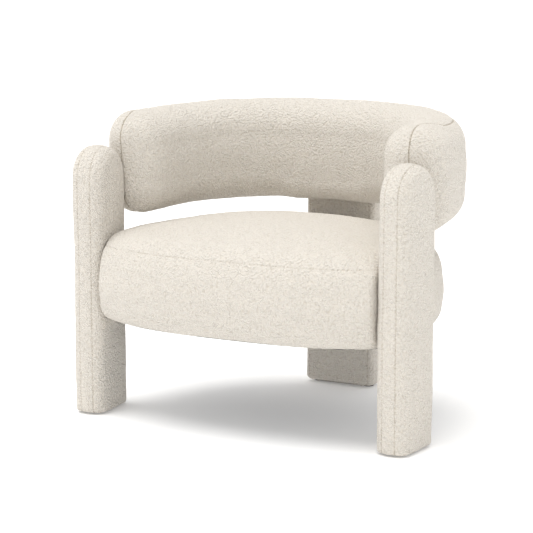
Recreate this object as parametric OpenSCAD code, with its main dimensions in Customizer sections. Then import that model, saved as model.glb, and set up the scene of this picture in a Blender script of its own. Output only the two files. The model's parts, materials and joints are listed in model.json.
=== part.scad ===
// Three-legged lounge armchair: two round-topped front legs, one wide rear leg, a crowned drum-like seat, and
// a C-shaped padded band that is back and arms in one. The front faces -Y, and the floor is z = 0.

/* [Front legs] */
// Distance between the centre planes of the front legs
leg_spacing = 728; // [722:1:736]
// Width of a front leg
leg_w = 73; // [70:1:76]
// Depth of a front leg, front to back
leg_d = 136; // [132:1:140]
// Height of a front leg
leg_h = 580; // [565:1:590]
// Radius of a front leg's rounded edges
leg_round = 28; // [25:1:30]
// Angle that each front leg is turned, so that the pair opens towards the back
leg_turn = 5.3; // [4.5:0.1:6]
// Width of the strip between the two seams of a front leg's sleeve
leg_strip_w = 30; // [26:1:34]

/* [Rear leg] */
// Width of the rear leg
rear_w = 172; // [164:1:180]
// Depth of the rear leg, front to back
rear_d = 66; // [64:1:68]
// Radius of the rear leg's rounded edges
rear_round = 16; // [14:1:20]
// Distance from the front legs' centres back to the rear leg's front face
rear_y = 437; // [435:1:439]

/* [Back and arms] */
// Height of the band's top above the floor, over the front legs' centres
band_top = 642; // [640:1:644]
// Height of the band's section
band_h = 224; // [222:1:226]
// Thickness of the band's section
band_t = 136; // [134:1:138]
// Radius of the section's corners
band_round = 64; // [60:1:66]
// Radius of the band's centre line across the back
back_radius = 476; // [470:2:482]
// Half angle of the arc across the back
back_angle = 14.5; // [14:0.1:15]
// Radius of the band's centre line at each rear corner
corner_radius = 278; // [274:1:282]
// Length of the straight stretch of each arm
arm_len = 55; // [52:1:58]
// Angle that each arm opens out towards the front
arm_splay = 6; // [5:0.5:7]
// Distance from the front legs' centres back to the band's centre line
band_y = 435; // [433:1:437]
// Angle that the band rises towards the back
band_tilt = 2.6; // [2:0.1:3]
// Distance of the cover's seam outward from the band's centre line
band_seam = 2; // [0:1:4]

/* [Seat] */
// Height of the seat's crown above the floor
seat_h = 432; // [428:1:436]
// Thickness of the seat, crown to underside
seat_t = 226; // [220:1:230]
// Half of the seat's greatest width
seat_half_w = 374; // [368:1:380]
// Reach of the seat in front of the front legs' centres
seat_front = 122; // [114:1:128]
// Distance of the seat's widest place behind the front legs' centres
seat_wide_y = 22; // [16:1:30]
// Rise of the seat's crown above its shoulder
seat_crown = 30; // [24:1:34]
// Radius of the seat's upper edge
seat_round = 84; // [78:1:90]
// Radius of the seat's lower edge
seat_under_round = 36; // [32:1:40]
// Height of the seam between the seat's top panel and its boxing, as an angle up the edge's arc
seat_seam_angle = 40; // [30:1:50]

/* [Upholstery and frame] */
// Gap between the floor and the cloth of the legs
foot_gap = 4; // [3:0.5:6]
// Thickness of the looped fabric
cover_t = 3; // [2.5:0.5:3.5]
// Thickness of the foam round the leg cores
leg_foam_t = 12; // [10:1:13]
// Thickness of the plywood ribs
ply_t = 18; // [15:1:21]
// Thickness of the bent plywood skins
skin_t = 6; // [4:1:7]
// Thickness of the seat frame's rails
rail_t = 25; // [22:1:28]
// Height of the seat frame's rails
rail_h = 60; // [55:1:65]
// Width of the webbing straps
strap_w = 50; // [45:5:60]

/* [Hidden] */
$fn = 96;

cloth = [0.90, 0.88, 0.84];
foam_yellow = [0.95, 0.90, 0.72];
timber = [0.80, 0.66, 0.46];
ply = [0.86, 0.74, 0.55];
steel = [0.70, 0.71, 0.73];
black = [0.12, 0.12, 0.12];

clear = 0.3;                            // room left between padded bodies that press on each other
flange_w = 18;                          // cloth turned in under a leg
glide_r = 12;
front_glide_y = 36;
rear_glide_x = 62;
leg_x = leg_spacing / 2;
leg_core_inset = cover_t + leg_foam_t;

// Frame inside the band
frame_w = 88;
frame_h = 160;
frame_reach = 26;                       // how far the frame runs on past each arm's straight stretch
post_len = 40;                          // length of an end post along the arm
post_w = 50;
post_play = 3;                          // keeps a straight post clear of the bent skins
back_post_turn = 10.5;                  // angle of each outer post of the back
corner_post_turns = [20, 46];           // angles of the posts in each rear corner
band_mid_z = band_top - band_h / 2;
rib_clear_w = frame_w - 2 * skin_t;

// Centre line of the band: an arc across the back, a tighter arc at each rear corner, then a straight arm
corner_turn = 90 - arm_splay - back_angle;
back_centre_y = band_y - back_radius;
overlap = 0.002;                        // angle by which the two halves of the back's arc run into each other
butt_gap = 0.01;                        // hairline between a corner and the padding of its arm

// Seat
seat_low = seat_h - seat_t;
seat_back = rear_y - clear;
seat_mid_y = (seat_back - seat_front) / 2;
shoulder_z = seat_h - seat_crown;
edge_z = shoulder_z - seat_round;       // where the upper edge starts to curve
plan_steps = 72;
plan_power = 2.54;
crown_start = 80;                       // angle up the edge's arc where the crown takes over
crown_end = 0.97;
crown_power = 2.2;
underside_flange = 30;
swell = 120;                            // how much wider the seat may be behind the legs than between them
swell_y = leg_d / 2 - 4;                // where it starts to widen
swell_run = 60;
rail_z = seat_low + 9;
deck_z = rail_z + rail_h;
strap_t = 2;
strap_margin = 3;
strap_pitch_x = 104;
strap_first_y = -40;
strap_pitch_y = 92;
deck_t = 1.2;
foam_z = deck_z + 2 * strap_t + deck_t;
foam_split_z = edge_z + 30;

// Outline of the seat frame, an octagon: outer faces and corners of its rails
rail_out_x = 298;
rail_front_y = -82;
rail_back_y = 401;
front_rail_x = 225;                     // half length of the front rail
side_rail_y = [-45, 253];               // ends of the side rails
back_rail_x = 150;                      // half length of the back rail
brace = 35;                             // how far a corner block runs along the rails it joins

// Bolts: M8, with washers under the heads and inserts in the cores
bolt_r = 4;
hole_r = 4.3;
head_r = 6.5;
head_h = 5;
washer_r = 9;
washer_t = 1.6;
insert_r = 6;
insert_len = 18;
seat_bolt_z = rail_z + rail_h / 2;
side_bolt_y = 26;
side_bolt_len = 92;
rear_bolt_x = 48;
rear_bolt_len = 95;
arm_bolt_x = 358;
arm_bolt_rise = 19;                     // arm bolts sit this far above and below their mid height
arm_bolt_z = 506;
arm_seat_y = 130;                       // the flat that an arm bolt's washer sits on
arm_bolt_len = 102;
rib_bolt_len = 62;
rib_bolt_y = 459;                       // measured along the band's own plane

// The whole chair is centred on the origin in plan
band_reach_y = (band_y + band_t / 2 - band_round) * cos(band_tilt)
    + (band_h / 2 - band_round) * sin(band_tilt) + band_round;
y_mid = (band_reach_y - seat_front) / 2;

module placed() translate([0, -y_mid, 0]) children();

// ---------------------------------------------------------------- shapes

module rounded_rect(w, h, r) {
    square([w - 2 * r, h], center = true);
    square([w, h - 2 * r], center = true);
    for (sx = [-1, 1], sy = [-1, 1])
        translate([sx * (w / 2 - r), sy * (h / 2 - r)]) circle(r);
}

// Round bar from the point `from`; `a` turns +Z to its direction
module rod(from, a, r, len) translate(from) rotate(a) cylinder(r = r, h = len);

// ---------------------------------------------------------------- front legs

// Round-topped upright with every edge rounded, `inset` inside the sleeve's outer face
module leg_form(inset, base) {
    w = leg_w - 2 * inset;
    d = leg_d - 2 * inset;
    r = leg_round - inset;
    spring_z = leg_h - leg_d / 2;
    translate([0, 0, base]) linear_extrude(spring_z - base) rounded_rect(w, d, r);
    translate([0, 0, spring_z]) rotate([0, 90, 0]) rotate_extrude(angle = 180, start = 90) intersection() {
        rounded_rect(d, w, r);
        translate([0, -w]) square([d, 2 * w]);
    }
}

module at_leg(side) placed() translate([side * leg_x, 0, 0]) rotate(-side * leg_turn) children();

module leg_shell() difference() {
    leg_form(0, foot_gap);
    leg_form(cover_t, foot_gap + cover_t);
    translate([0, 0, foot_gap - 1]) linear_extrude(cover_t + 2)
        rounded_rect(leg_w - 2 * flange_w, leg_d - 2 * flange_w, leg_round - flange_w);
}

// Slab between x0 and x1 that takes in the whole height of a leg
module leg_slab(x0, x1) translate([x0, -leg_d, 0]) cube([x1 - x0, 2 * leg_d, leg_h + 1]);

module leg_core(side) color(timber) difference() {
    at_leg(side) leg_form(leg_core_inset, foot_gap + cover_t);
    placed() bolt_holes();
    placed() insert_holes();
}

module leg_foam(side) color(foam_yellow) difference() {
    at_leg(side) difference() {
        leg_form(cover_t, foot_gap + cover_t);
        leg_form(leg_core_inset, foot_gap);
    }
    placed() bolt_holes();
}

module leg_strip(side) color(cloth) difference() {
    at_leg(side) intersection() {
        leg_shell();
        leg_slab(-leg_strip_w / 2, leg_strip_w / 2);
    }
    placed() bolt_holes();
}

// `facing` is 1 for the panel on the outside of the chair and -1 for the one beside the seat
module leg_panel(side, facing) color(cloth) difference() {
    at_leg(side) intersection() {
        leg_shell();
        if (side * facing > 0) leg_slab(leg_strip_w / 2, leg_w);
        else leg_slab(-leg_w, -leg_strip_w / 2);
    }
    placed() bolt_holes();
}

module leg_glides(side) color(black) at_leg(side) for (y = [-front_glide_y, front_glide_y])
    translate([0, y, 0]) cylinder(r = glide_r, h = foot_gap + cover_t);

module front_leg_core_left() leg_core(-1);
module front_leg_core_right() leg_core(1);
module front_leg_foam_left() leg_foam(-1);
module front_leg_foam_right() leg_foam(1);
module front_leg_strip_left() leg_strip(-1);
module front_leg_strip_right() leg_strip(1);
module front_leg_outer_panel_left() leg_panel(-1, 1);
module front_leg_outer_panel_right() leg_panel(1, 1);
module front_leg_inner_panel_left() leg_panel(-1, -1);
module front_leg_inner_panel_right() leg_panel(1, -1);
module front_leg_glides_left() leg_glides(-1);
module front_leg_glides_right() leg_glides(1);

// ---------------------------------------------------------------- rear leg

// Flat-sided post, cut off along the underside of the band's bottom rib, or `above` it
module rear_form(inset, base, above = 0) difference() {
    translate([0, rear_y + rear_d / 2, base]) linear_extrude(band_mid_z - base)
        rounded_rect(rear_w - 2 * inset, rear_d - 2 * inset, rear_round - min(inset, rear_round - 3));
    tilted() translate([-rear_w, 0, above - frame_h / 2]) cube([2 * rear_w, 2 * rear_y, band_h]);
}

module rear_shell() difference() {
    rear_form(0, foot_gap);
    rear_form(cover_t, foot_gap + cover_t);
    rear_form(flange_w, foot_gap - 1);
}

// The front panel spans between seams that lie where the front face starts to round
module rear_front_zone() {
    half = rear_w / 2 - rear_round;
    translate([-half, rear_y - 1, 0]) cube([2 * half, rear_round, band_mid_z]);
}

module rear_leg_core() color(timber) placed() difference() {
    rear_form(leg_core_inset, foot_gap + cover_t);
    bolt_holes();
    insert_holes();
}

module rear_leg_foam() color(foam_yellow) placed() difference() {
    rear_form(cover_t, foot_gap + cover_t);
    rear_form(leg_core_inset, foot_gap);
    bolt_holes();
}

module rear_leg_front_panel() color(cloth) placed() difference() {
    intersection() {
        rear_shell();
        rear_front_zone();
    }
    bolt_holes();
}

module rear_leg_wrap_panel() color(cloth) placed() difference() {
    rear_shell();
    rear_front_zone();
}

module rear_leg_glides() color(black) placed() for (x = [-rear_glide_x, rear_glide_x])
    translate([x, rear_y + rear_d / 2, 0]) cylinder(r = glide_r, h = foot_gap + cover_t);

// ---------------------------------------------------------------- back and arms

// The band lies in a plane that rises towards the back, turned about a line through the front legs' centres
module tilted() translate([0, 0, band_mid_z]) rotate([band_tilt, 0, 0]) children();

// Frames that ride along the right half of the centre line, with +X on along it and +Y outward. In each one,
// the line passes through the +Y axis at the radius of the arc it belongs to.
module at_back_end() tilted() translate([0, back_centre_y, 0]) rotate(-back_angle) children();
module at_arm() at_back_end() translate([0, back_radius - corner_radius, 0]) rotate(-corner_turn) children();

// The children of these are a flat section, x outward from the centre line and y up from its mid height
module along_half_back() at_back_end() rotate_extrude(angle = back_angle + overlap, start = 90, $fn = 192)
    translate([back_radius, 0]) children();

module along_corner() at_back_end() translate([0, back_radius - corner_radius, 0])
    rotate_extrude(angle = corner_turn, start = 90 - corner_turn) translate([corner_radius, 0]) children();

// Straight stretch of the arm, from `from` to `to` along it
module along_arm(from, to) at_arm() translate([from, corner_radius, 0])
    rotate([90, 0, 90]) linear_extrude(to - from) children();

// Round front end of the arm
module arm_nose() at_arm() translate([arm_len, corner_radius, 0])
    rotate_extrude(angle = 180, start = -90) intersection() {
        children();
        translate([0, -band_h]) square([band_t, 2 * band_h]);
    }

module both_arms() {
    children();
    mirror([1, 0, 0]) children();
}

module frame_run() {
    both_arms() {
        along_half_back() children();
        along_corner() children();
        along_arm(butt_gap, arm_len + frame_reach) children();
    }
}

module band_section(inset) rounded_rect(band_t - 2 * inset, band_h - 2 * inset, band_round - inset);

module cover_section() difference() {
    band_section(0);
    band_section(cover_t);
}

module frame_section() square([frame_w, frame_h], center = true);

module outer_zone() translate([band_seam, -band_h]) square([band_t, 2 * band_h]);

module inner_zone() translate([band_seam - band_t, -band_h]) square([band_t, 2 * band_h]);

// What the legs take out of the band where it is pressed onto them
module leg_room() {
    for (side = [-1, 1])
        translate([side * leg_x, 0, 0]) rotate(-side * leg_turn) leg_form(-clear, 0);
    rear_form(-clear, 0, clear);
}

// The cover's section on one side of the seam
module panel_section(outside) intersection() {
    cover_section();
    if (outside) outer_zone(); else inner_zone();
}

module nose_panel(outside) intersection() {
    arm_nose() cover_section();
    along_arm(arm_len - 1, arm_len + band_t) if (outside) outer_zone(); else inner_zone();
}

module band_panel(outside) color(cloth) placed() difference() {
    both_arms() {
        along_half_back() panel_section(outside);
        along_corner() panel_section(outside);
        along_arm(butt_gap, arm_len) panel_section(outside);
        nose_panel(outside);
    }
    leg_room();
    bolt_holes();
}

module foam_section() difference() {
    band_section(cover_t);
    frame_section();
}

module arm_foam() difference() {
    union() {
        along_corner() foam_section();
        along_arm(butt_gap, arm_len) foam_section();
        difference() {
            arm_nose() band_section(cover_t);
            along_arm(arm_len - 1, arm_len + frame_reach) frame_section();
        }
    }
    leg_room();
    bolt_holes();
}

module band_rib(z) color(ply) placed() difference() {
    frame_run() translate([-rib_clear_w / 2, z]) square([rib_clear_w, ply_t]);
    bolt_holes();
}

// End post at the front of the right arm, with a flat for the bolts' washers
module arm_post() difference() {
    along_arm(arm_len + frame_reach - post_len, arm_len + frame_reach)
        square([rib_clear_w, frame_h - 2 * ply_t], center = true);
    for (s = [-1, 1])
        rod([arm_bolt_x, arm_seat_y, arm_bolt_z + s * arm_bolt_rise], [-90, 0, 0], washer_r + 1, post_len);
}

module post() cube([post_w, rib_clear_w - post_play, frame_h - 2 * ply_t], center = true);

module back_post(a) tilted() translate([0, back_centre_y, 0]) rotate(-a) translate([0, back_radius, 0]) post();

module corner_post(a) at_back_end() translate([0, back_radius - corner_radius, 0]) rotate(-a)
    translate([0, corner_radius, 0]) post();

module band_rib_bottom() band_rib(-frame_h / 2);
module band_rib_top() band_rib(frame_h / 2 - ply_t);

module band_posts() color(ply) placed() difference() {
    union() {
        both_arms() {
            arm_post();
            for (a = corner_post_turns) corner_post(a);
        }
        for (a = [-back_post_turn, 0, back_post_turn]) back_post(a);
    }
    bolt_holes();
}

module band_inner_skin() color(ply) placed() difference() {
    frame_run() translate([-frame_w / 2, -frame_h / 2]) square([skin_t, frame_h]);
    bolt_holes();
}

module band_outer_skin() color(ply) placed() difference() {
    frame_run() translate([frame_w / 2 - skin_t, -frame_h / 2]) square([skin_t, frame_h]);
    bolt_holes();
}

module band_foam_back() color(foam_yellow) placed() difference() {
    both_arms() along_half_back() foam_section();
    leg_room();
}

module band_foam_right() color(foam_yellow) placed() arm_foam();
module band_foam_left() color(foam_yellow) placed() mirror([1, 0, 0]) arm_foam();
module band_inner_panel() band_panel(false);
module band_outer_panel() band_panel(true);

// ---------------------------------------------------------------- seat

function spow(v, p) = sign(v) * pow(abs(v), p);

function blend(u) = let (c = min(max(u, 0), 1)) c * c * (3 - 2 * c);

// Half width that the front legs leave at depth y: the seat is pinched there and swells behind them
function side_room(y) = leg_x - leg_w / 2 / cos(leg_turn) + y * tan(leg_turn) - clear
    + swell * blend((y - swell_y) / swell_run);

// One closed ring of the seat, `inset` in from the plan outline at height z; `skin` is its layer's depth
function seat_ring(inset, z, skin) = let (s = 1 - inset / seat_half_w) [
    for (i = [0 : plan_steps - 1])
        let (
            t = 360 * i / plan_steps,
            reach = sin(t) > 0 ? seat_back - seat_wide_y : seat_front + seat_wide_y,
            x = s * seat_half_w * spow(cos(t), 2 / plan_power),
            y = seat_mid_y + s * (seat_wide_y + reach * spow(sin(t), 2 / plan_power) - seat_mid_y)
        )
        [sign(x) * min(abs(x), side_room(y) - skin), y, z]
];

// Inset of the upper edge at height z, for the layer `skin` deep
function edge_inset(z, skin) = z < edge_z ? skin
    : seat_round - sqrt(max(pow(seat_round - skin, 2) - pow(z - edge_z, 2), 0));

function under_arc(skin) = [
    for (a = [90 : -18 : 0])
        seat_ring(seat_under_round - (seat_under_round - skin) * cos(a),
            seat_low + seat_under_round - (seat_under_round - skin) * sin(a), skin)
];

function upper_arc(from, to, skin, steps) = [
    for (k = [0 : steps])
        let (a = from + (to - from) * k / steps)
        seat_ring(seat_round - (seat_round - skin) * cos(a), edge_z + (seat_round - skin) * sin(a), skin)
];

function crown_rings(skin) = let (
        first = seat_round - (seat_round - skin) * cos(crown_start),
        low = edge_z + (seat_round - skin) * sin(crown_start)
    ) [
    for (u = [0.2, 0.45, 0.75, 1])
        seat_ring(first + (seat_half_w * crown_end - first) * u,
            low + (seat_h - skin - low) * (1 - pow(1 - u, crown_power)), skin)
];

function reversed(list) = [for (i = [len(list) - 1 : -1 : 0]) list[i]];

// Solid through a stack of rings, closed at its two ends, or joined end to end if `loop`
module loft(rings, loop = false) {
    n = len(rings[0]);
    m = len(rings);
    spans = loop ? m : m - 1;
    walls = [
        for (k = [0 : spans - 1], i = [0 : n - 1])
            let (a = k * n, b = ((k + 1) % m) * n, j = (i + 1) % n)
            each [[a + i, b + i, b + j], [a + i, b + j, a + j]]
    ];
    caps = loop ? [] : [[for (i = [0 : n - 1]) i], [for (i = [n - 1 : -1 : 0]) (m - 1) * n + i]];
    polyhedron([for (ring = rings) each ring], concat(walls, caps), convexity = 6);
}

// Corners of the seat frame's outline on the right, front to back, drawn in by `inset`
function frame_corners(inset) = [
    [front_rail_x, rail_front_y + inset], [rail_out_x - inset, side_rail_y[0]],
    [rail_out_x - inset, side_rail_y[1]], [back_rail_x, rail_back_y - inset]
];

module frame_outline(inset) polygon(concat(
    frame_corners(inset), reversed([for (p = frame_corners(inset)) [-p[0], p[1]]])
));

module rail(x, y, w, d) translate([x, y, rail_z]) cube([w, d, rail_h]);

module side_rail(side) color(timber) placed() difference() {
    rail(side > 0 ? rail_out_x - rail_t : -rail_out_x, side_rail_y[0], rail_t, side_rail_y[1] - side_rail_y[0]);
    bolt_holes();
}

module seat_front_rail() color(timber) placed()
    rail(-front_rail_x, rail_front_y, 2 * front_rail_x, rail_t);

module seat_side_rail_left() side_rail(-1);
module seat_side_rail_right() side_rail(1);

module seat_back_rail() color(timber) placed() difference() {
    rail(-back_rail_x, rail_back_y - rail_t, 2 * back_rail_x, rail_t);
    bolt_holes();
}

// Block on the right that joins the front or back rail's end to a side rail's end, with a brace inside
module corner_block(end_x, outer_y, inner_y, side_y, away) translate([0, 0, rail_z]) linear_extrude(rail_h)
    polygon([
        [end_x, outer_y], [rail_out_x, side_y], [rail_out_x - rail_t, side_y],
        [rail_out_x - rail_t, side_y + away], [end_x - brace, inner_y], [end_x, inner_y]
    ]);

module seat_corner_blocks() color(ply) placed() for (m = [0, 1]) mirror([m, 0, 0]) {
    corner_block(front_rail_x, rail_front_y, rail_front_y + rail_t, side_rail_y[0], brace);
    corner_block(back_rail_x, rail_back_y, rail_back_y - rail_t, side_rail_y[1], -brace);
}

// How far back a strap's outer edge at x may run, and how far out one at y
function strap_back(x) = min(rail_back_y, rail_out_x + side_rail_y[1] - abs(x)) - strap_margin;
function strap_out(y) = min(rail_out_x, rail_out_x + side_rail_y[1] - y) - strap_margin;

module seat_webbing_lengthwise() color(black) placed() for (k = [-2 : 2]) {
    x = k * strap_pitch_x;
    back = strap_back(abs(x) + strap_w / 2);
    translate([x - strap_w / 2, rail_front_y + 2 * strap_margin, deck_z])
        cube([strap_w, back - rail_front_y - 2 * strap_margin, strap_t]);
}

module seat_webbing_crosswise() color(black) placed() for (k = [0 : 4]) {
    y = strap_first_y + k * strap_pitch_y;
    half = strap_out(y + strap_w);
    translate([-half, y, deck_z + strap_t]) cube([2 * half, strap_w, strap_t]);
}

module seat_deck_cloth() color(black) placed() translate([0, 0, deck_z + 2 * strap_t])
    linear_extrude(deck_t) frame_outline(1);

module seat_edge_foam() color(foam_yellow) placed() difference() {
    loft(concat(under_arc(cover_t), [seat_ring(cover_t, foam_z, cover_t)]));
    translate([0, 0, seat_low]) linear_extrude(seat_t) frame_outline(0);
    bolt_holes();
}

module seat_foam_base() color(foam_yellow) placed() loft([
    for (z = [foam_z, edge_z, foam_split_z]) seat_ring(edge_inset(z, cover_t), z, cover_t)
]);

module seat_foam_top() color(foam_yellow) placed() {
    from = asin((foam_split_z - edge_z) / (seat_round - cover_t));
    loft(concat(upper_arc(from, crown_start, cover_t, 3), crown_rings(cover_t)));
}

module seat_top_panel() color(cloth) placed() loft(concat(
    reversed(concat(upper_arc(seat_seam_angle, crown_start, cover_t, 3), crown_rings(cover_t))),
    upper_arc(seat_seam_angle, crown_start, 0, 3), crown_rings(0)
));

module seat_boxing() color(cloth) placed() difference() {
    loft(concat(
        [seat_ring(seat_under_round + underside_flange, seat_low, 0)],
        under_arc(0),
        upper_arc(0, seat_seam_angle, 0, 3),
        reversed(upper_arc(0, seat_seam_angle, cover_t, 3)),
        reversed(under_arc(cover_t)),
        [seat_ring(seat_under_round + underside_flange, seat_low + cover_t, cover_t)]
    ), loop = true);
    bolt_holes();
}

module seat_dust_cover() color(black) placed() loft([
    for (z = [seat_low - 1, seat_low]) seat_ring(seat_under_round + underside_flange / 2, z, cover_t)
]);

// ---------------------------------------------------------------- fasteners

// Each fastener's children start at the wood's face, with +Z along the bolt
module at_side_bolts() for (side = [-1, 1], y = [-side_bolt_y, side_bolt_y])
    translate([side * (rail_out_x - rail_t), y, seat_bolt_z]) rotate([0, side * 90, 0]) children();

module at_rear_bolts() for (x = [-rear_bolt_x, rear_bolt_x])
    translate([x, rail_back_y - rail_t, seat_bolt_z]) rotate([-90, 0, 0]) children();

module at_arm_bolts() for (side = [-1, 1], s = [-1, 1])
    translate([side * arm_bolt_x, arm_seat_y, arm_bolt_z + s * arm_bolt_rise]) rotate([90, 0, 0]) children();

module at_rib_bolts() tilted() for (x = [-rear_bolt_x, rear_bolt_x])
    translate([x, rib_bolt_y, ply_t - frame_h / 2]) rotate([180, 0, 0]) children();

module bolt(len) {
    cylinder(r = bolt_r, h = len);
    translate([0, 0, -washer_t - head_h]) cylinder(r = head_r, h = head_h);
    translate([0, 0, -washer_t]) cylinder(r = bolt_r, h = washer_t);
}

module washer() translate([0, 0, -washer_t]) difference() {
    cylinder(r = washer_r, h = washer_t);
    translate([0, 0, -1]) cylinder(r = hole_r, h = washer_t + 2);
}

// Insert that the last stretch of a bolt of length len screws into
module insert(len) translate([0, 0, len - insert_len]) difference() {
    cylinder(r = insert_r, h = insert_len);
    translate([0, 0, -1]) cylinder(r = hole_r, h = insert_len + 2);
}

module hole(len) translate([0, 0, -1]) cylinder(r = hole_r, h = len + 3);

module insert_hole(len) translate([0, 0, len - insert_len]) cylinder(r = insert_r, h = insert_len);

module bolt_holes() {
    at_side_bolts() hole(side_bolt_len);
    at_rear_bolts() hole(rear_bolt_len);
    at_arm_bolts() hole(arm_bolt_len);
    at_rib_bolts() hole(rib_bolt_len);
}

module insert_holes() {
    at_side_bolts() insert_hole(side_bolt_len);
    at_rear_bolts() insert_hole(rear_bolt_len);
    at_arm_bolts() insert_hole(arm_bolt_len);
    at_rib_bolts() insert_hole(rib_bolt_len);
}

module seat_bolts() color(steel) placed() {
    at_side_bolts() bolt(side_bolt_len);
    at_rear_bolts() bolt(rear_bolt_len);
}

module band_bolts() color(steel) placed() {
    at_arm_bolts() bolt(arm_bolt_len);
    at_rib_bolts() bolt(rib_bolt_len);
}

module bolt_washers() color(steel) placed() {
    at_side_bolts() washer();
    at_rear_bolts() washer();
    at_arm_bolts() washer();
    at_rib_bolts() washer();
}

module threaded_inserts() color(steel) placed() {
    at_side_bolts() insert(side_bolt_len);
    at_rear_bolts() insert(rear_bolt_len);
    at_arm_bolts() insert(arm_bolt_len);
    at_rib_bolts() insert(rib_bolt_len);
}

// ---------------------------------------------------------------- nodes

front_leg_core_left();
front_leg_core_right();
front_leg_foam_left();
front_leg_foam_right();
front_leg_strip_left();
front_leg_strip_right();
front_leg_outer_panel_left();
front_leg_outer_panel_right();
front_leg_inner_panel_left();
front_leg_inner_panel_right();
front_leg_glides_left();
front_leg_glides_right();
rear_leg_core();
rear_leg_foam();
rear_leg_front_panel();
rear_leg_wrap_panel();
rear_leg_glides();
band_rib_bottom();
band_rib_top();
band_posts();
band_inner_skin();
band_outer_skin();
band_foam_back();
band_foam_left();
band_foam_right();
band_inner_panel();
band_outer_panel();
seat_front_rail();
seat_side_rail_left();
seat_side_rail_right();
seat_back_rail();
seat_corner_blocks();
seat_webbing_lengthwise();
seat_webbing_crosswise();
seat_deck_cloth();
seat_edge_foam();
seat_foam_base();
seat_foam_top();
seat_top_panel();
seat_boxing();
seat_dust_cover();
seat_bolts();
band_bolts();
bolt_washers();
threaded_inserts();
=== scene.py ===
"""Looks of a three-legged boucle lounge armchair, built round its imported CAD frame. Lengths are in metres."""

import json
import math

import bmesh
import bpy
import numpy as np
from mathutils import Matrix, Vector


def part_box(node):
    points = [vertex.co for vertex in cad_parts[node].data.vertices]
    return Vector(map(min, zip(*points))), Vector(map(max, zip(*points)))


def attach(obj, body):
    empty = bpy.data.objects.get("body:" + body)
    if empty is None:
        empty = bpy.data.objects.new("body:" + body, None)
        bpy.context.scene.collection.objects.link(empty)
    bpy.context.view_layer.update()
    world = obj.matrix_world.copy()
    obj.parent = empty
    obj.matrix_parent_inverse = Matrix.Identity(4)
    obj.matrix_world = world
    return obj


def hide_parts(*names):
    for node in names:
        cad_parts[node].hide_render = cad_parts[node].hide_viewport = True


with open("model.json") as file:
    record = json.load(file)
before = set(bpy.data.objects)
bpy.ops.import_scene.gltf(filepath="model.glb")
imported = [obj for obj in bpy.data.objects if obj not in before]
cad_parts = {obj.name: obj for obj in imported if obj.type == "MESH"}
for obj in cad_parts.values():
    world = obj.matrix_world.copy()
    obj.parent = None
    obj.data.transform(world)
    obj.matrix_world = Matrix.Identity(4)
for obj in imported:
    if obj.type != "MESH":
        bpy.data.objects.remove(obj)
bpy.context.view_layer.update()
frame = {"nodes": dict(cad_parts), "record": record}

# ---------------------------------------------------------------- sizes of the padded forms
LEG_W, LEG_D = 0.073, 0.136
LEG_TURN = math.radians(5.3)
LEG_EDGE = 0.028
LEG_BULGE = 0.0022
LEG_STRIP_BULGE = 0.0008
LEG_TUCK = 0.007  # rounding of a front leg's bottom edge
LEG_SEAM_X = 0.015
REAR_EDGE = 0.016
REAR_BULGE = 0.001
REAR_TUCK = 0.013  # rounding of the rear leg's bottom edge
REAR_SEAM_INSET = 0.012
REAR_LEAN = 0.012  # how far the back of the rear leg leans in where it passes under the band
REAR_LEAN_DROP = 0.060
BACK_RADIUS = 0.476
BACK_ANGLE = math.radians(14.5)
CORNER_RADIUS = 0.278
ARM_LENGTH = 0.055
ARM_SPLAY = math.radians(6.0)
BAND_H = 0.224
BAND_T = 0.136
BAND_EDGE = 0.064
BAND_TILT = math.radians(2.6)
BAND_BULGE = 0.0025
BAND_OUTER_TOP, BAND_OUTER_LOW = 0.062, 0.058  # how far each edge of the section is rounded
BAND_INNER_TOP, BAND_INNER_LOW = 0.066, 0.063
BAND_LOW_SHARPER = 0.022  # how much less the inner lower edge is rounded over the rear leg
BAND_SHARP_X = 0.085  # half the width of that stretch, and the run over which it fades out
BAND_SHARP_FADE = 0.06
BAND_NOSE_ROUND = 0.058
BAND_SEAM = 0.002  # how far outside the middle of the section the seam is at the front end of an arm
SEAM_DRIFT = 0.046  # how much farther out the seam runs along the arms and the back
SEAM_DRIFT_STOPS = 100
SEAM_DRIFT_LEAD = 20  # stops of the rounded end over which it has already begun
SEAT_POWER = 2.54
SEAT_WIDE_Y = 0.022
SEAT_PROUD = 0.0011  # how far the cushion's sides stand proud of its boxing
SEAT_CROWN = 0.030
SEAT_CROWN_POWER = 2.2
SEAT_EDGE = 0.084
SEAT_EDGE_TURN = 80  # degrees of the top edge's rounding before the crown takes over
SEAT_UNDER_EDGE = 0.050
SEAT_SEAM_ANGLE = math.radians(40)
SEAT_BULGE = 0.0035
SEAT_SPREAD = 0.12  # how much wider than the gap between the legs the cushion may get behind them
SEAT_SPREAD_FROM, SEAT_SPREAD_RUN = 0.004, 0.06
SEAT_PINCH = 0.004  # how softly the cushion turns where the legs press its sides in
SKIN = 0.0003  # room left between two padded pieces that press on each other

# ---------------------------------------------------------------- how finely the forms are meshed
GRID = 0.0045
LEG_GRID = 0.0040
BESIDE_SEAM = (0, 0.0012, 0.0026, 0.0045, 0.0070)  # distances from a seam at which there are always points
BACK_STOPS, CORNER_STOPS, ARM_STOPS, NOSE_STOPS = 75, 55, 55, 33
HALF_SECTION = 0.32  # about the length of one side of the band's section
SEAT_AROUND = 480
TINY = 1e-9

# ---------------------------------------------------------------- places, read from the CAD nodes


def middle(node):
    low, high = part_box(node)
    return (low + high) / 2


leg_centre = middle("front_leg_glides_right")
leg_x, leg_y = leg_centre.x, leg_centre.y
leg_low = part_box("front_leg_outer_panel_right")[0].z
leg_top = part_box("front_leg_strip_right")[1].z
rear_low, rear_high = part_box("rear_leg_wrap_panel")
band_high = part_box("band_outer_panel")[1]
band_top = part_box("band_inner_panel")[1].z
seat_low, seat_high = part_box("seat_boxing")
seat_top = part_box("seat_top_panel")[1].z
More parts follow.
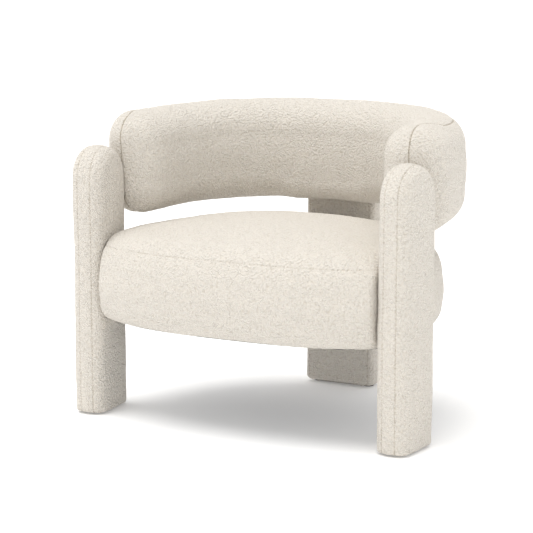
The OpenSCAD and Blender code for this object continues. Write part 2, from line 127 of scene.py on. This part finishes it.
# distance from the front legs back to the band's centre line, and the band's mid height over the front legs,
# both measured along the band's own plane
tilt_sin, tilt_cos = math.sin(BAND_TILT), math.cos(BAND_TILT)
edge_rise = BAND_H / 2 - BAND_EDGE
edge_reach = (band_high.y - leg_y - BAND_EDGE - edge_rise * tilt_sin) / tilt_cos
band_line = edge_reach - BAND_T / 2 + BAND_EDGE
band_mid_z = band_top - BAND_EDGE - edge_rise * tilt_cos - edge_reach * tilt_sin
seat_half_w = (seat_high.x - seat_low.x) / 2 + SEAT_PROUD

# ---------------------------------------------------------------- small tools


def noise(points, size, seed):
    """Smooth noise from -1 to 1 whose bumps are about `size` across."""
    q = points / size + 512.0
    cell = np.floor(q).astype(np.int64)
    f = q - cell
    w = f * f * f * (f * (f * 6 - 15) + 10)
    total = np.zeros(len(points))
    for corner in np.ndindex(2, 2, 2):
        i = cell + np.array(corner)
        h = (i[:, 0] * 73856093) ^ (i[:, 1] * 19349663) ^ (i[:, 2] * 83492791) ^ (seed * 40503)
        h = ((h ^ (h >> 13)) * 1274126177) & 0x7FFFFFFF
        h = ((h ^ (h >> 15)) * 668265263) & 0x7FFFFFFF
        value = (h >> 8) / 4194304.0 - 1.0
        share = np.ones(len(points))
        for axis in range(3):
            share = share * (w[:, axis] if corner[axis] else 1 - w[:, axis])
        total += value * share
    return total


def ramp(u):
    """Rises smoothly from 0 at 0 to 1 at 1."""
    u = np.clip(u, 0, 1)
    return u * u * (3 - 2 * u)


def spread(length, step, seams=()):
    """Stations from 0 to length about `step` apart, drawn close together round each seam."""
    marks = set()
    for s in seams:
        for d in BESIDE_SEAM:
            marks.update((s - d, s + d))
    fixed = sorted({0.0, length} | {m for m in marks if 0 < m < length})
    out = [0.0]
    for a, b in zip(fixed, fixed[1:]):
        n = max(1, round((b - a) / step))
        out += [a + (b - a) * (k + 1) / n for k in range(n)]
    return np.array(out)


def resample(points, stations):
    """Points at the given lengths along a polyline."""
    points = np.asarray(points, float)
    run = np.concatenate([[0], np.cumsum(np.linalg.norm(np.diff(points, axis=0), axis=1))])
    return np.stack([np.interp(stations, run, points[:, k]) for k in range(points.shape[1])], 1)


def arc(cx, cy, r, start, end, steps=24):
    """Points on an arc, its angles in degrees."""
    a = np.radians(np.linspace(start, end, steps + 1))
    return [(cx + r * math.cos(t), cy + r * math.sin(t)) for t in a]


def run_length(points):
    return float(np.sum(np.linalg.norm(np.diff(np.asarray(points, float), axis=0), axis=1)))


def surface(name, rings, seam):
    """A closed mesh through a grid of points, rings[i][j], whose rings close on themselves.

    The two ends have shrunk to a line or a point. `seam` is each point's distance from the nearest seam.
    """
    far_from_seam, same_point, sliver = 0.05, 0.00005, 0.00002
    n, m = rings.shape[:2]
    i, j = np.meshgrid(np.arange(n - 1), np.arange(m), indexing="ij")
    k = (j + 1) % m
    quads = np.stack([i * m + j, i * m + k, (i + 1) * m + k, (i + 1) * m + j], -1).reshape(-1, 4)
    mesh = bpy.data.meshes.new(name)
    mesh.from_pydata(rings.reshape(-1, 3).tolist(), [], quads.tolist())
    attribute = mesh.attributes.new("seam_distance", "FLOAT", "POINT")
    attribute.data.foreach_set("value", np.minimum(seam, far_from_seam).astype(np.float32).ravel())
    bm = bmesh.new()
    bm.from_mesh(mesh)
    bmesh.ops.remove_doubles(bm, verts=bm.verts, dist=same_point)
    bmesh.ops.dissolve_degenerate(bm, edges=bm.edges, dist=sliver)
    bmesh.ops.recalc_face_normals(bm, faces=bm.faces)
    for face in bm.faces:
        face.smooth = True
    bm.to_mesh(mesh)
    bm.free()
    obj = bpy.data.objects.new(name, mesh)
    bpy.context.scene.collection.objects.link(obj)
    return obj


def points_of(obj):
    co = np.zeros(len(obj.data.vertices) * 3, np.float32)
    obj.data.vertices.foreach_get("co", co)
    return co.reshape(-1, 3).astype(float)


def normals_of(obj):
    no = np.zeros(len(obj.data.vertices) * 3, np.float32)
    obj.data.vertices.foreach_get("normal", no)
    return no.reshape(-1, 3).astype(float)


def seam_of(obj):
    d = np.zeros(len(obj.data.vertices), np.float32)
    obj.data.attributes["seam_distance"].data.foreach_get("value", d)
    return d.astype(float)


def set_points(obj, co):
    obj.data.vertices.foreach_set("co", co.astype(np.float32).ravel())
    obj.data.update()


# ---------------------------------------------------------------- cloth finish on a padded form


CUT, CUT_WIDTH = 0.0016, 0.0014  # the groove of a seam
DIP, DIP_WIDTH = 0.0006, 0.0065  # the shallow valley that it lies in, uneven where the cloth gathers
ROLL, ROLL_AT, ROLL_WIDTH = 0.0003, 0.013, 0.007  # the low swelling beyond the valley
GATHER_COARSE, GATHER_FINE = 0.013, 0.006
SAG_COARSE, SAG_FINE = 0.12, 0.05
NAP_COARSE, NAP_COARSE_SIZE = 0.00026, 0.0130
NAP_FINE, NAP_FINE_SIZE = 0.00016, 0.0080


def upholster(obj, seed, sag=0.0012, draw=0.6, shade_strength=0.3):
    """Draws the seams in by `draw`, has the material paint shade along them as strongly as the last argument
    says, and makes the padding uneven.
    """
    co, no, d = points_of(obj), normals_of(obj), seam_of(obj)
    gather = 1 + 0.45 * noise(co, GATHER_COARSE, seed) + 0.25 * noise(co, GATHER_FINE, seed + 1)
    lift = -CUT * np.exp(-((d / CUT_WIDTH) ** 2))
    lift -= DIP * gather * np.exp(-((d / DIP_WIDTH) ** 2))
    lift += ROLL * np.exp(-(((d - ROLL_AT) / ROLL_WIDTH) ** 2))
    lift *= draw
    lift += sag * noise(co, SAG_COARSE, seed + 2) + 0.5 * sag * noise(co, SAG_FINE, seed + 3)
    lift += NAP_COARSE * noise(co, NAP_COARSE_SIZE, seed + 4) + NAP_FINE * noise(co, NAP_FINE_SIZE, seed + 5)
    set_points(obj, co + no * lift[:, None])
    # a strength for the painted shade that the cloth material lays along the seams, the same at every point
    attribute = obj.data.attributes.new("painted_seam_shade", "FLOAT", "POINT")
    attribute.data.foreach_set("value", np.full(len(co), shade_strength, np.float32))


def leg_depth(co, side, grow=0.0):
    """How deep each point lies inside a front leg grown by `grow`, and the way out of it."""
    ca, sa = math.cos(-side * LEG_TURN), math.sin(-side * LEG_TURN)
    px, py = co[:, 0] - side * leg_x, co[:, 1] - leg_y
    x, y = ca * px + sa * py, -sa * px + ca * py
    rise = np.maximum(co[:, 2] - (leg_top - LEG_D / 2), 0)
    q = np.sqrt(y * y + rise * rise) + TINY
    r = LEG_EDGE + grow
    ax, aq = np.abs(x) - (LEG_W / 2 + grow - r), q - (LEG_D / 2 + grow - r)
    outer = np.sqrt(np.maximum(ax, 0) ** 2 + np.maximum(aq, 0) ** 2) + TINY
    signed = outer + np.minimum(np.maximum(ax, aq), 0) - r
    corner = (ax > 0) & (aq > 0)
    gx = np.where(corner, ax / outer, (ax > aq).astype(float)) * np.sign(x)
    gq = np.where(corner, aq / outer, (aq >= ax).astype(float))
    gy, gz = gq * y / q, gq * rise / q
    way = np.stack([ca * gx - sa * gy, sa * gx + ca * gy, gz], 1)
    return -signed, way


def keep_off_legs(obj):
    """Pushes the points that lie inside a front leg out to its face."""
    farthest_push = 0.03
    co = points_of(obj)
    for side in (-1, 1):
        depth, way = leg_depth(co, side, SKIN)
        co = co + way * np.clip(depth, 0, farthest_push)[:, None]
    set_points(obj, co)


# ---------------------------------------------------------------- front legs


def front_leg(side):
    half_w, half_d, edge = LEG_W / 2, LEG_D / 2, LEG_EDGE
    flat_x, flat_d = half_w - edge, half_d - edge
    # section from the middle of the front strip round to the middle of a side panel
    line = [(0.0, half_d + LEG_STRIP_BULGE), (flat_x * 0.5, half_d + 0.75 * LEG_STRIP_BULGE)]
    line += arc(flat_x, flat_d, edge, 90, 0)
    for u in np.linspace(0.06, 1, 16):
        line.append((half_w + LEG_BULGE * math.sin(math.pi / 2 * u), flat_d * (1 - u)))
    seam_at = run_length(line[:2] + [(flat_x, half_d)]) + edge * math.asin((LEG_SEAM_X - flat_x) / edge)
    stations = spread(run_length(line), LEG_GRID, [seam_at])
    half = resample(line, stations)
    half[-1, 1] = 0.0
    profile = np.concatenate([half[::-1] * [-1, 1], half[1:]])
    along = np.concatenate([stations[::-1], stations[1:]])
    tuck = LEG_TUCK
    spring = leg_top - LEG_D / 2
    rings = []
    for x, d in profile:
        from_edge = half_w - abs(x)
        drop = tuck - math.sqrt(max(tuck ** 2 - max(tuck - max(from_edge, 0), 0) ** 2, 0))
        z0 = leg_low + (drop if d >= flat_d - 1e-6 else tuck + (flat_d - d))
        r = min(tuck, d)
        front = [(0.0, z0)] + arc(d - r, z0 + r, r, -90, 0, 6)
        side_line = [(d, z) for z in np.linspace(z0 + r, spring, 128)[1:]]
        top = [(d * math.cos(a), spring + d * math.sin(a)) for a in np.linspace(0, math.pi, 56)[1:]]
        bottom_run = [((d - r) * u, z0) for u in (0.25, 0.5, 0.75)]
        right = [front[0]] + bottom_run + front[1:] + side_line
        left = [(-y, z) for y, z in right[::-1]]
        loop = right + top[:-1] + left[:-1]
        rings.append([(x, y, z) for y, z in loop])
    rings = np.array(rings)
    seam = np.abs(along - seam_at)[:, None] * np.ones(rings.shape[1])[None, :]
    turn = -side * LEG_TURN
    x = rings[..., 0] * math.cos(turn) - rings[..., 1] * math.sin(turn) + side * leg_x
    y = rings[..., 0] * math.sin(turn) + rings[..., 1] * math.cos(turn) + leg_y
    placed = np.stack([x, y, rings[..., 2]], -1)
    word = "right" if side > 0 else "left"
    obj = surface("front_leg_sleeve_" + word, placed, seam)
    upholster(obj, 10 + side)
    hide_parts(*[f"front_leg_{p}_{word}" for p in ("foam", "strip", "outer_panel", "inner_panel")])
    return obj


# ---------------------------------------------------------------- rear leg


def rear_leg():
    w, d, r = (rear_high.x - rear_low.x) / 2, (rear_high.y - rear_low.y) / 2, REAR_EDGE
    mid_y = (rear_high.y + rear_low.y) / 2
    # plan from the middle of the front face round to the middle of the back face
    line = [(0, -d)] + arc(w - r, -d + r, r, -90, 0)
    line += [(w + REAR_BULGE, 0)]
    line += arc(w - r, d - r, r, 0, 90) + [(0, d)]
    stations = spread(run_length(line), GRID, [w - REAR_SEAM_INSET])
    half = resample(line, stations)
    plan = np.concatenate([half, half[-2:0:-1] * [-1, 1]])
    along = np.concatenate([stations, stations[-2:0:-1]])
    tuck = REAR_TUCK
    top = rear_high.z
    closing = (0.0, 0.4, 0.75)  # shares of the plan in the rows that close the bottom and the top
    rows = [(share, 0.0, rear_low.z) for share in closing]
    for a in np.linspace(0, math.pi / 2, 8):
        rows.append((1.0, tuck - tuck * math.sin(a), rear_low.z + tuck - tuck * math.cos(a)))
    rows += [(1.0, 0.0, z) for z in np.linspace(rear_low.z + tuck, top, 96)[1:]]
    rows += [(share, 0.0, top) for share in reversed(closing)]
    rings = []
    for share, inset, z in rows:
        ring = plan * [share * (1 - inset / w), share * (1 - inset / d)]
        lean = REAR_LEAN * ramp((z - top + REAR_LEAN_DROP) / REAR_LEAN_DROP)
        rings.append([(x, min(y, d - lean) + mid_y, z) for x, y in ring])
    rings = np.array(rings)
    seam = np.abs(along - (w - REAR_SEAM_INSET))[None, :] * np.ones(len(rings))[:, None]
    obj = surface("rear_leg_sleeve", rings, seam)
    upholster(obj, 21)
    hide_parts("rear_leg_foam", "rear_leg_front_panel", "rear_leg_wrap_panel")
    return obj


# ---------------------------------------------------------------- back-and-arm band


def band_side(outward, low_edge, high_edge, stations_wanted):
    """One side of the band's section, from its top seam down to its bottom seam."""
    half_t, half_h = BAND_T / 2, BAND_H / 2
    x_top = half_t - high_edge
    x_low = half_t - low_edge
    s = outward * BAND_SEAM
    line = [(s, half_h)]
    line += [(x, y) for x, y in arc(x_top, half_h - high_edge, high_edge, 90, 0) if x > s]
    flat = np.linspace(half_h - high_edge, -half_h + low_edge, 12)[1:-1]
    reach = (flat[0] - flat[-1]) / 2 + TINY
    mid = (flat[0] + flat[-1]) / 2
    line += [(half_t + BAND_BULGE * (1 - ((y - mid) / reach) ** 2), y) for y in flat]
    line += [(x, y) for x, y in arc(x_low, -half_h + low_edge, low_edge, 0, -90) if x > s]
    line += [(s, -half_h)]
    total = run_length(line)
    out = resample(line, stations_wanted * total)
    return out * [outward, 1], total


def band():
    centre_y = band_line - BACK_RADIUS

    def outward(angle):
        return np.array([math.sin(angle), math.cos(angle)])

    corner = np.array([0, centre_y]) + (BACK_RADIUS - CORNER_RADIUS) * outward(BACK_ANGLE)
    arm_angle = math.pi / 2 - ARM_SPLAY
    forward = np.array([math.cos(arm_angle), -math.sin(arm_angle)])
    start = corner + CORNER_RADIUS * outward(arm_angle)
    # stops along the right half of the centre line: place, way out, and how far round the end's curve
    stops = []
    for a in np.linspace(0, BACK_ANGLE, BACK_STOPS, endpoint=False):
        stops.append((np.array([0, centre_y]) + BACK_RADIUS * outward(a), outward(a), 0.0))
    for a in np.linspace(BACK_ANGLE, arm_angle, CORNER_STOPS, endpoint=False):
        stops.append((corner + CORNER_RADIUS * outward(a), outward(a), 0.0))
    for u in np.linspace(0, ARM_LENGTH, ARM_STOPS, endpoint=False):
        stops.append((start + forward * u, outward(arm_angle), 0.0))
    nose_start = len(stops)
    tip = start + forward * ARM_LENGTH
    reach = BAND_T / 2
    for phi in np.linspace(0, math.pi / 2, NOSE_STOPS + 1):
        stops.append((tip + forward * reach * math.sin(phi), outward(arm_angle), phi))

    half_h = BAND_H / 2
    share = spread(HALF_SECTION, GRID, [0.0, HALF_SECTION]) / HALF_SECTION
    right, seam = [], []
    for k, (p, out, phi) in enumerate(stops):
        shift = SEAM_DRIFT * ramp((nose_start + SEAM_DRIFT_LEAD - k) / SEAM_DRIFT_STOPS)
        near_leg = 1 - ramp((abs(p[0]) - BAND_SHARP_X) / BAND_SHARP_FADE)
        low_inner = BAND_INNER_LOW - BAND_LOW_SHARPER * near_leg
        outer, total = band_side(1, BAND_OUTER_LOW, BAND_OUTER_TOP, share)
        inner, _ = band_side(-1, low_inner, BAND_INNER_TOP, share)
        if shift > 0:  # the top seam moves outwards, and the two sides share the section out anew
            loop = np.concatenate([outer, inner[::-1][1:]])
            down, whole = run_length(outer), run_length(loop)
            loop = np.concatenate([loop, loop[1:]])
            outer = resample(loop, shift + share * (down - shift))
            inner = resample(loop, down + share * (whole + shift - down))[::-1]
        even = (outer[:, 1] + inner[:, 1]) / 2
        blend = ramp(phi / (math.pi / 2)) ** 2
        depth = reach * math.sin(phi)
        over = max(depth - (reach - BAND_NOSE_ROUND), 0)
        rounding = BAND_NOSE_ROUND - math.sqrt(max(BAND_NOSE_ROUND ** 2 - over ** 2, 0))
        squeeze = 1 - rounding / half_h
        ring = []
        for sec in (outer, inner[::-1][1:-1]):
            x = BAND_SEAM + (sec[:, 0] - BAND_SEAM) * math.cos(phi)
            level = even if sec is outer else even[::-1][1:-1]
            y = (sec[:, 1] * (1 - blend) + level * blend) * squeeze
            for u, v in zip(x, y):
                along = p[1] + out[1] * u
                ring.append((p[0] + out[0] * u, leg_y + along * tilt_cos - v * tilt_sin,
                             band_mid_z + along * tilt_sin + v * tilt_cos))
        right.append(ring)
        away = np.minimum(share, 1 - share) * total * max(math.cos(phi), 0.0)
        seam.append(np.concatenate([away, away[::-1][1:-1]]))
    right = np.array(right)
    seam = np.array(seam)
    left = right[1:][::-1] * [-1, 1, 1]
    obj = surface("band_cover", np.concatenate([left, right]), np.concatenate([seam[1:][::-1], seam]))
    # the band's seams get the strongest painted shade
    upholster(obj, 31, sag=0.0016, draw=1.0, shade_strength=0.75)
    keep_off_legs(obj)
    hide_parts("band_inner_panel", "band_outer_panel",
                "band_foam_back", "band_foam_left", "band_foam_right")
    return obj


# ---------------------------------------------------------------- seat


def seat():
    front = seat_low.y - leg_y
    back = seat_high.y - leg_y
    mid = (front + back) / 2
    t = np.linspace(0, 2 * math.pi, 4001)

    def power(v):
        return np.sign(v) * np.abs(v) ** (2 / SEAT_POWER)

    reach = np.where(np.sin(t) > 0, back - SEAT_WIDE_Y, SEAT_WIDE_Y - front)
    outline = np.stack([seat_half_w * power(np.cos(t)), SEAT_WIDE_Y + reach * power(np.sin(t))], 1)
    around = np.linspace(0, run_length(outline), SEAT_AROUND, endpoint=False)
    outline = resample(outline, around)

    edge_z = seat_top - SEAT_CROWN - SEAT_EDGE
    low = seat_low.z
    # (inset, height) from the middle of the underside, up the side, and over the crown to the middle
    under = [(x, low) for x in np.linspace(seat_half_w, SEAT_UNDER_EDGE, 30)]
    under += [(SEAT_UNDER_EDGE - SEAT_UNDER_EDGE * math.sin(a), low + SEAT_UNDER_EDGE * (1 - math.cos(a)))
              for a in np.linspace(0, math.pi / 2, 16)[1:]]
    wall_low, wall_high = low + SEAT_UNDER_EDGE, edge_z
    side = []
    for z in np.linspace(wall_low, wall_high, 14)[1:]:
        u = (z - wall_low) / (wall_high - wall_low)
        side.append((-SEAT_BULGE * math.sin(math.pi * u), z))
    top_arc = [(SEAT_EDGE - SEAT_EDGE * math.cos(a), edge_z + SEAT_EDGE * math.sin(a))
               for a in np.radians(np.linspace(0, SEAT_EDGE_TURN, 28))[1:]]
    first, base = top_arc[-1]
    crown = []
    for u in np.linspace(0, 1, 60)[1:]:
        rise = (seat_top - base) * (1 - (1 - u) ** SEAT_CROWN_POWER)
        crown.append((first + (seat_half_w - first) * u, base + rise))
    line = under + side + top_arc + crown
    seam_run = run_length(under + side) + SEAT_EDGE * SEAT_SEAM_ANGLE
    stations = spread(run_length(line), GRID, [seam_run])
    profile = resample(line, stations)

    leg_half = LEG_W / 2 / math.cos(LEG_TURN)
    rings = []
    for inset, z in profile:
        s = max(1 - inset / seat_half_w, 0.0)
        x = s * outline[:, 0]
        y = mid + s * (outline[:, 1] - mid)
        room = leg_x - leg_half + y * math.tan(LEG_TURN) - SKIN
        room = room + SEAT_SPREAD * ramp((y - LEG_D / 2 + SEAT_SPREAD_FROM) / SEAT_SPREAD_RUN)
        over = np.abs(x) - room
        x = np.sign(x) * (np.abs(x) - np.logaddexp(0, over / SEAT_PINCH) * SEAT_PINCH)
        rings.append(np.stack([x, y + leg_y, np.full(len(x), z)], 1))
    rings = np.array(rings)
    seam = np.abs(stations - seam_run)[:, None] * np.ones(rings.shape[1])[None, :]
    obj = surface("seat_cushion", rings, seam)
    # the seat's seams get only faint painted shade
    upholster(obj, 41, sag=0.0018, shade_strength=0.15)
    keep_off_legs(obj)
    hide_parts("seat_top_panel", "seat_boxing", "seat_foam_top", "seat_foam_base", "seat_edge_foam")
    return obj


# ---------------------------------------------------------------- materials


def material(name):
    mat = bpy.data.materials.new(name)
    mat.use_nodes = True
    tree = mat.node_tree
    shader = tree.nodes["Principled BSDF"]
    where = tree.nodes.new("ShaderNodeTexCoord").outputs["Object"]
    return mat, tree, shader, where


def noise_node(tree, where, scale, detail=2.0, distortion=0.0):
    n = tree.nodes.new("ShaderNodeTexNoise")
    n.inputs["Scale"].default_value = scale
    n.inputs["Detail"].default_value = detail
    n.inputs["Distortion"].default_value = distortion
    tree.links.new(where, n.inputs["Vector"])
    return n.outputs["Fac"]


def math_node(tree, op, *values):
    n = tree.nodes.new("ShaderNodeMath")
    n.operation = op
    for slot, v in zip(n.inputs, values):
        if isinstance(v, (int, float)):
            slot.default_value = v
        else:
            tree.links.new(v, slot)
    return n.outputs[0]


def colours(tree, fac, stops):
    n = tree.nodes.new("ShaderNodeValToRGB")
    elements = n.color_ramp.elements
    while len(elements) < len(stops):
        elements.new(0.5)
    for e, (pos, c) in zip(elements, stops):
        e.position = pos
        e.color = (*c, 1)
    tree.links.new(fac, n.inputs["Fac"])
    return n.outputs["Color"]


def map_range(tree, fac, low, high, from_low=0.0, from_high=1.0):
    n = tree.nodes.new("ShaderNodeMapRange")
    n.inputs["From Min"].default_value = from_low
    n.inputs["From Max"].default_value = from_high
    n.inputs["To Min"].default_value = low
    n.inputs["To Max"].default_value = high
    tree.links.new(fac, n.inputs["Value"])
    return n.outputs["Result"]


def mesh_value(tree, name):
    n = tree.nodes.new("ShaderNodeAttribute")
    n.attribute_name = name
    return n.outputs["Fac"]


def bump(tree, shader, height, strength, distance):
    n = tree.nodes.new("ShaderNodeBump")
    n.inputs["Strength"].default_value = strength
    n.inputs["Distance"].default_value = distance
    tree.links.new(height, n.inputs["Height"])
    tree.links.new(n.outputs["Normal"], shader.inputs["Normal"])


def loops_node(tree, where, scale, smooth):
    n = tree.nodes.new("ShaderNodeTexVoronoi")
    n.feature = "SMOOTH_F1"
    n.inputs["Scale"].default_value = scale
    n.inputs["Smoothness"].default_value = smooth
    tree.links.new(where, n.inputs["Vector"])
    return n.outputs["Distance"]


# colours of the cloth's loops, from their tips down to their roots, darker downwards as painted shade among the
# loops
LOOP_TIP, LOOP_SIDE, LOOP_ROOT_SHADE = (0.802, 0.762, 0.700), (0.734, 0.681, 0.605), (0.49, 0.427, 0.340)
SEAM_SHADE_FULL, SEAM_SHADE_END = 0.0004, 0.0022  # distances between which the painted shade along a seam fades out


def boucle():
    mat, tree, shader, where = material("boucle_cover")
    curl = tree.nodes.new("ShaderNodeTexNoise")
    curl.inputs["Scale"].default_value = 260
    tree.links.new(where, curl.inputs["Vector"])
    shift = tree.nodes.new("ShaderNodeVectorMath")
    shift.operation = "MULTIPLY_ADD"
    shift.inputs[1].default_value = (0.003, 0.003, 0.003)
    tree.links.new(curl.outputs["Color"], shift.inputs[0])
    tree.links.new(where, shift.inputs[2])
    bent = shift.outputs[0]
    small = loops_node(tree, bent, scale=250, smooth=0.30)
    large = loops_node(tree, bent, scale=150, smooth=0.8)
    fuzz = noise_node(tree, where, 900, 2)
    height = math_node(tree, "MULTIPLY_ADD", large, -0.35, math_node(tree, "MULTIPLY", small, -0.9))
    height = math_node(tree, "ADD", height, math_node(tree, "MULTIPLY", fuzz, 0.25))
    bump(tree, shader, height, strength=0.9, distance=0.0054)
    # how deep among the loops a point lies, which the ramp below turns into painted shade; the patch noise adds
    # the cloth's own uneven tone
    depth = math_node(tree, "MULTIPLY_ADD", small, 0.62, math_node(tree, "MULTIPLY", large, 0.1))
    patch = noise_node(tree, where, 7, 3)
    depth = math_node(tree, "ADD", depth, math_node(tree, "MULTIPLY", patch, 0.06))
    # painted shade along the seams: full on the seam, fading out from 0.4 to 2.2 mm off it, scaled by each
    # piece's strength and added to the depth so the ramp darkens it
    fade = map_range(tree, mesh_value(tree, "seam_distance"), 1.0, 0.0, SEAM_SHADE_FULL, SEAM_SHADE_END)
    line = math_node(tree, "MULTIPLY", fade, mesh_value(tree, "painted_seam_shade"))
    depth = math_node(tree, "ADD", depth, line)
    base = colours(tree, depth, [(0.08, LOOP_TIP), (0.50, LOOP_SIDE), (1.0, LOOP_ROOT_SHADE)])
    tree.links.new(base, shader.inputs["Base Color"])
    tree.links.new(map_range(tree, fuzz, 0.82, 0.98), shader.inputs["Roughness"])
    shader.inputs["Specular IOR Level"].default_value = 0.2
    shader.inputs["Sheen Weight"].default_value = 0.35
    shader.inputs["Sheen Roughness"].default_value = 0.6
    shader.inputs["Sheen Tint"].default_value = (1.0, 0.97, 0.92, 1)
    return mat


def wood(name, light, dark, layered):
    mat, tree, shader, where = material(name)
    wave = tree.nodes.new("ShaderNodeTexWave")
    wave.bands_direction = "Z" if layered else "X"
    wave.inputs["Scale"].default_value = 120 if layered else 14
    wave.inputs["Distortion"].default_value = 0.6 if layered else 5
    wave.inputs["Detail"].default_value = 3
    tree.links.new(where, wave.inputs["Vector"])
    fac = math_node(tree, "ADD", math_node(tree, "MULTIPLY", wave.outputs["Fac"], 0.6),
                    math_node(tree, "MULTIPLY", noise_node(tree, where, 60, 4, 0.6), 0.4))
    tree.links.new(colours(tree, fac, [(0.2, light), (0.8, dark)]), shader.inputs["Base Color"])
    shader.inputs["Roughness"].default_value = 0.62
    bump(tree, shader, fac, strength=0.2, distance=0.0005)
    return mat


def woven():
    mat, tree, shader, where = material("black_webbing")
    waves = []
    for direction in ("X", "Y"):
        wave = tree.nodes.new("ShaderNodeTexWave")
        wave.bands_direction = direction
        wave.inputs["Scale"].default_value = 150
        tree.links.new(where, wave.inputs["Vector"])
        waves.append(wave.outputs["Fac"])
    weave = math_node(tree, "MULTIPLY", waves[0], waves[1])
    tree.links.new(colours(tree, weave, [(0.0, (0.012, 0.012, 0.013)), (1.0, (0.045, 0.045, 0.048))]),
                   shader.inputs["Base Color"])
    shader.inputs["Roughness"].default_value = 0.85
    shader.inputs["Sheen Weight"].default_value = 0.2
    bump(tree, shader, weave, strength=0.5, distance=0.0006)
    return mat


def plastic():
    mat, tree, shader, where = material("black_plastic")
    grain = noise_node(tree, where, 500, 3)
    tree.links.new(colours(tree, grain, [(0.3, (0.012, 0.012, 0.012)), (0.8, (0.03, 0.03, 0.031))]),
                   shader.inputs["Base Color"])
    shader.inputs["Roughness"].default_value = 0.5
    bump(tree, shader, grain, strength=0.15, distance=0.0003)
    return mat


def steel():
    mat, tree, shader, where = material("zinc_steel")
    spangle = noise_node(tree, where, 260, 3, 0.4)
    tree.links.new(colours(tree, spangle, [(0.3, (0.55, 0.56, 0.58)), (0.75, (0.72, 0.73, 0.75))]),
                   shader.inputs["Base Color"])
    shader.inputs["Metallic"].default_value = 1.0
    tree.links.new(map_range(tree, spangle, 0.28, 0.5), shader.inputs["Roughness"])
    return mat


finishes = {
    "boucle_cover": boucle(),
    "solid_timber": wood("solid_timber", (0.62, 0.42, 0.23), (0.40, 0.25, 0.12), False),
    "plywood": wood("plywood", (0.70, 0.53, 0.33), (0.52, 0.36, 0.20), True),
    "black_webbing": woven(),
    "black_plastic": plastic(),
    "zinc_steel": steel(),
}
finishes["padding_foam"] = finishes["boucle_cover"]  # every foam node is stood for by its cover

# ---------------------------------------------------------------- the chair

padded = [front_leg(-1), front_leg(1), rear_leg(), band(), seat()]
for piece in padded:
    piece.data.materials.append(finishes["boucle_cover"])
    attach(piece, "root")

slots = {p["node"]: p["material_slot"] for p in frame["record"]["subparts"]}
for name, node in frame["nodes"].items():
    node.data.materials.clear()
    node.data.materials.append(finishes[slots[name]])

# ---------------------------------------------------------------- floor, light and camera

FLOOR_HALF = 90.0
FLOOR_GLOW = 0.14  # light that the rest of a white room sends back
ROOM_LIGHT = 0.89
SUN_TOWARDS = (-0.16, -0.16, 1.0)
SUN_STRENGTH = 2.0
SUN_ANGLE = math.radians(42)  # as wide as a large soft box
SUN_COLOUR = (1.0, 0.99, 0.975)
VIEW_AZIMUTH = math.radians(28.39)
VIEW_ELEVATION = math.radians(9.85)
VIEW_DISTANCE = 4.0
VIEW_LENS = 124.9
VIEW_TARGET = Vector((-0.0362, leg_y + 0.156, 0.3187))

floor_corners = [(sx * FLOOR_HALF, sy * FLOOR_HALF, 0) for sx, sy in ((-1, -1), (1, -1), (1, 1), (-1, 1))]
floor_mesh = bpy.data.meshes.new("floor")
floor_mesh.from_pydata(floor_corners, [], [(0, 1, 2, 3)])
floor = bpy.data.objects.new("floor", floor_mesh)
bpy.context.scene.collection.objects.link(floor)
floor_mat = bpy.data.materials.new("pale_floor")
floor_mat.use_nodes = True
floor_shader = floor_mat.node_tree.nodes["Principled BSDF"]
floor_shader.inputs["Base Color"].default_value = (0.93, 0.93, 0.93, 1)
floor_shader.inputs["Roughness"].default_value = 0.9
floor_shader.inputs["Specular IOR Level"].default_value = 0.1
floor_shader.inputs["Emission Color"].default_value = (1, 1, 1, 1)
floor_shader.inputs["Emission Strength"].default_value = FLOOR_GLOW
floor_mesh.materials.append(floor_mat)

world = bpy.data.worlds.new("studio")
bpy.context.scene.world = world
world.use_nodes = True
world.node_tree.nodes["Background"].inputs["Color"].default_value = (1.0, 1.0, 1.0, 1)
world.node_tree.nodes["Background"].inputs["Strength"].default_value = ROOM_LIGHT

sun_data = bpy.data.lights.new("key", "SUN")
sun_data.energy = SUN_STRENGTH
sun_data.angle = SUN_ANGLE
sun_data.color = SUN_COLOUR
sun = bpy.data.objects.new("key", sun_data)
sun.rotation_mode = "QUATERNION"
sun.rotation_quaternion = Vector(SUN_TOWARDS).to_track_quat("Z", "Y")
bpy.context.scene.collection.objects.link(sun)

back_vector = Vector((
    math.sin(VIEW_AZIMUTH) * math.cos(VIEW_ELEVATION),
    -math.cos(VIEW_AZIMUTH) * math.cos(VIEW_ELEVATION),
    math.sin(VIEW_ELEVATION),
))
camera_data = bpy.data.cameras.new("camera")
camera_data.sensor_width = 36.0
camera_data.lens = VIEW_LENS
camera = bpy.data.objects.new("camera", camera_data)
camera.location = VIEW_TARGET + back_vector * VIEW_DISTANCE
camera.rotation_mode = "QUATERNION"
camera.rotation_quaternion = (-back_vector).to_track_quat("-Z", "Y")
bpy.context.scene.collection.objects.link(camera)
bpy.context.scene.camera = camera
bpy.context.scene.view_settings.view_transform = "Standard"
